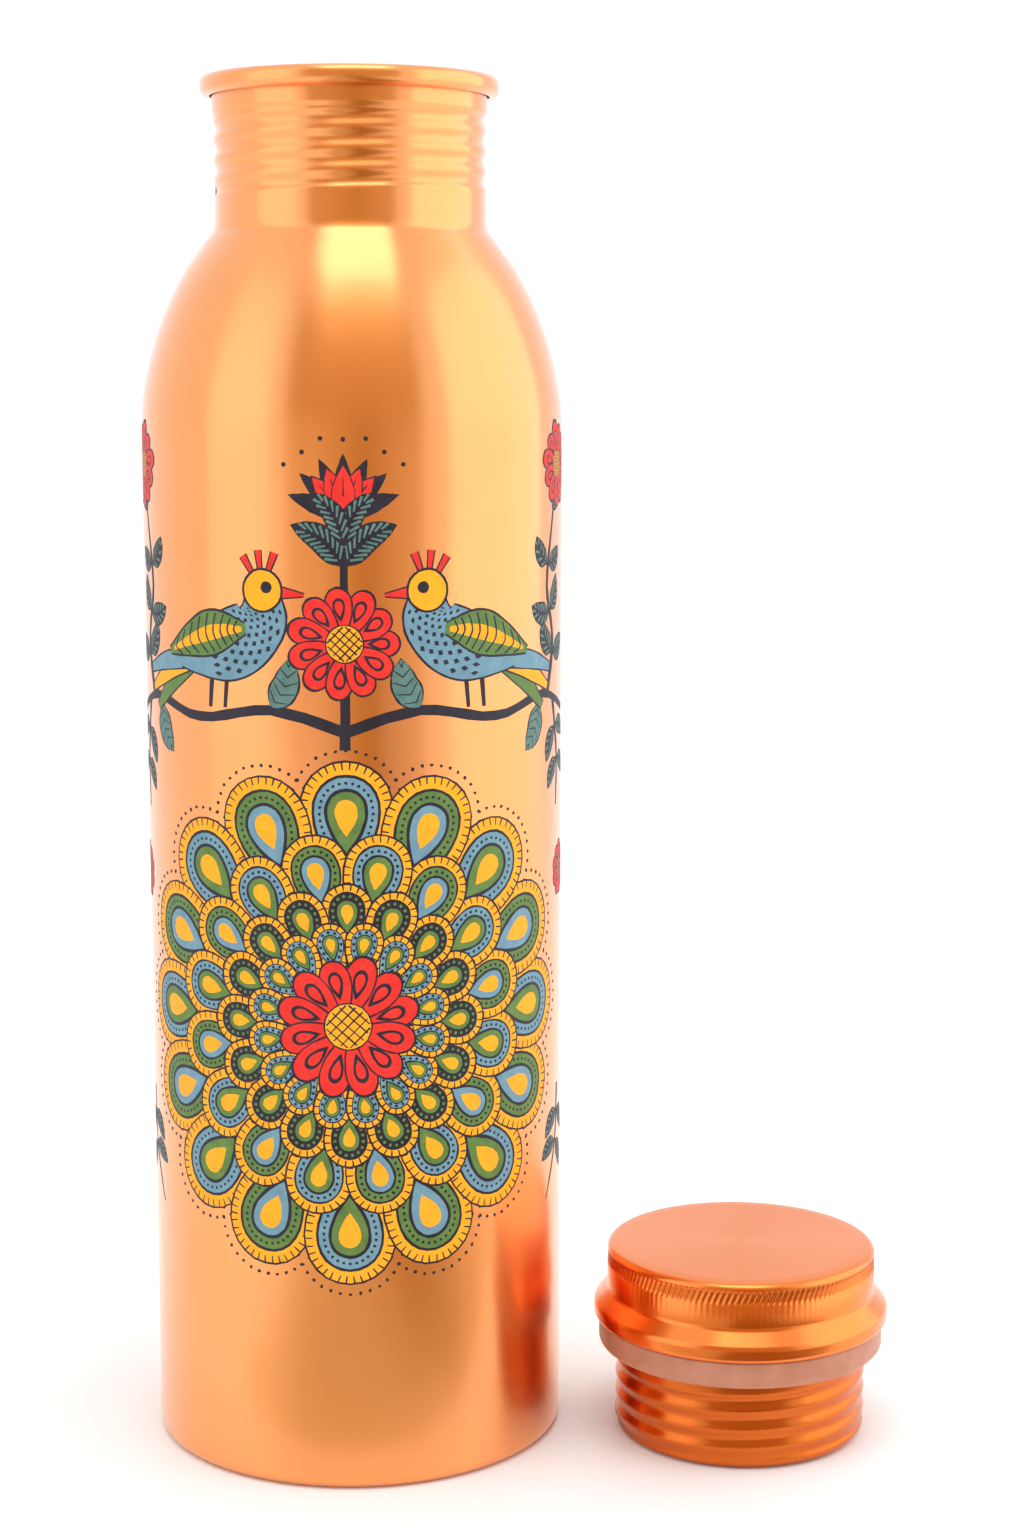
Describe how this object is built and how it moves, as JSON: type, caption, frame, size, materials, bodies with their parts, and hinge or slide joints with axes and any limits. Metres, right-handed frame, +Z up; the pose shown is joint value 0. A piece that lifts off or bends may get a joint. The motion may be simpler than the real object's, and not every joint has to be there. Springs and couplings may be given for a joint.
{
  "type": "water bottle with screw cap",
  "caption": "Copper water bottle with a sloping shoulder, threaded neck and rolled rim, open, its screw cap and sealing ring standing beside it.",
  "frame": {"origin": "centre of the bottle's foot, on the surface it stands on", "axes": "+Z up the bottle's axis and out of its mouth; +X towards the cap that stands beside it; -Y towards the printed rosette"},
  "size_m": [0.1356, 0.075, 0.2463],
  "materials": {
    "copper_body": "fine brushed copper under clear lacquer, printed with a rosette of eye feathers, flowers and two small birds",
    "copper_cap": "polished lacquered copper",
    "silicone": "milky silicone, satin",
    "ink_amber": "golden yellow screen-printed ink under the lacquer",
    "ink_sky": "grey blue screen-printed ink under the lacquer",
    "ink_green": "leaf green screen-printed ink under the lacquer",
    "ink_teal": "deep blue green screen-printed ink under the lacquer",
    "ink_red": "red screen-printed ink under the lacquer",
    "ink_dark": "near black screen-printed ink under the lacquer"
  },
  "bodies": {
    "bottle": {"bottle_body": "copper_body", "bottle_base": "copper_body"},
    "gasket": {"cap_gasket": "silicone"},
    "cap": {"cap_top": "copper_cap", "cap_plug": "copper_cap"}
  },
  "joints": [
    {"name": "cap_lift", "type": "slide", "parent": "bottle", "child": "gasket", "axis": [0, 0, 1], "range_m": [0, 0.27]},
    {"name": "cap_turn", "type": "hinge", "parent": "gasket", "child": "cap", "pos_m": [0.071, -0.007, 0], "axis": [0, 0, 1], "continuous": true}
  ]
}
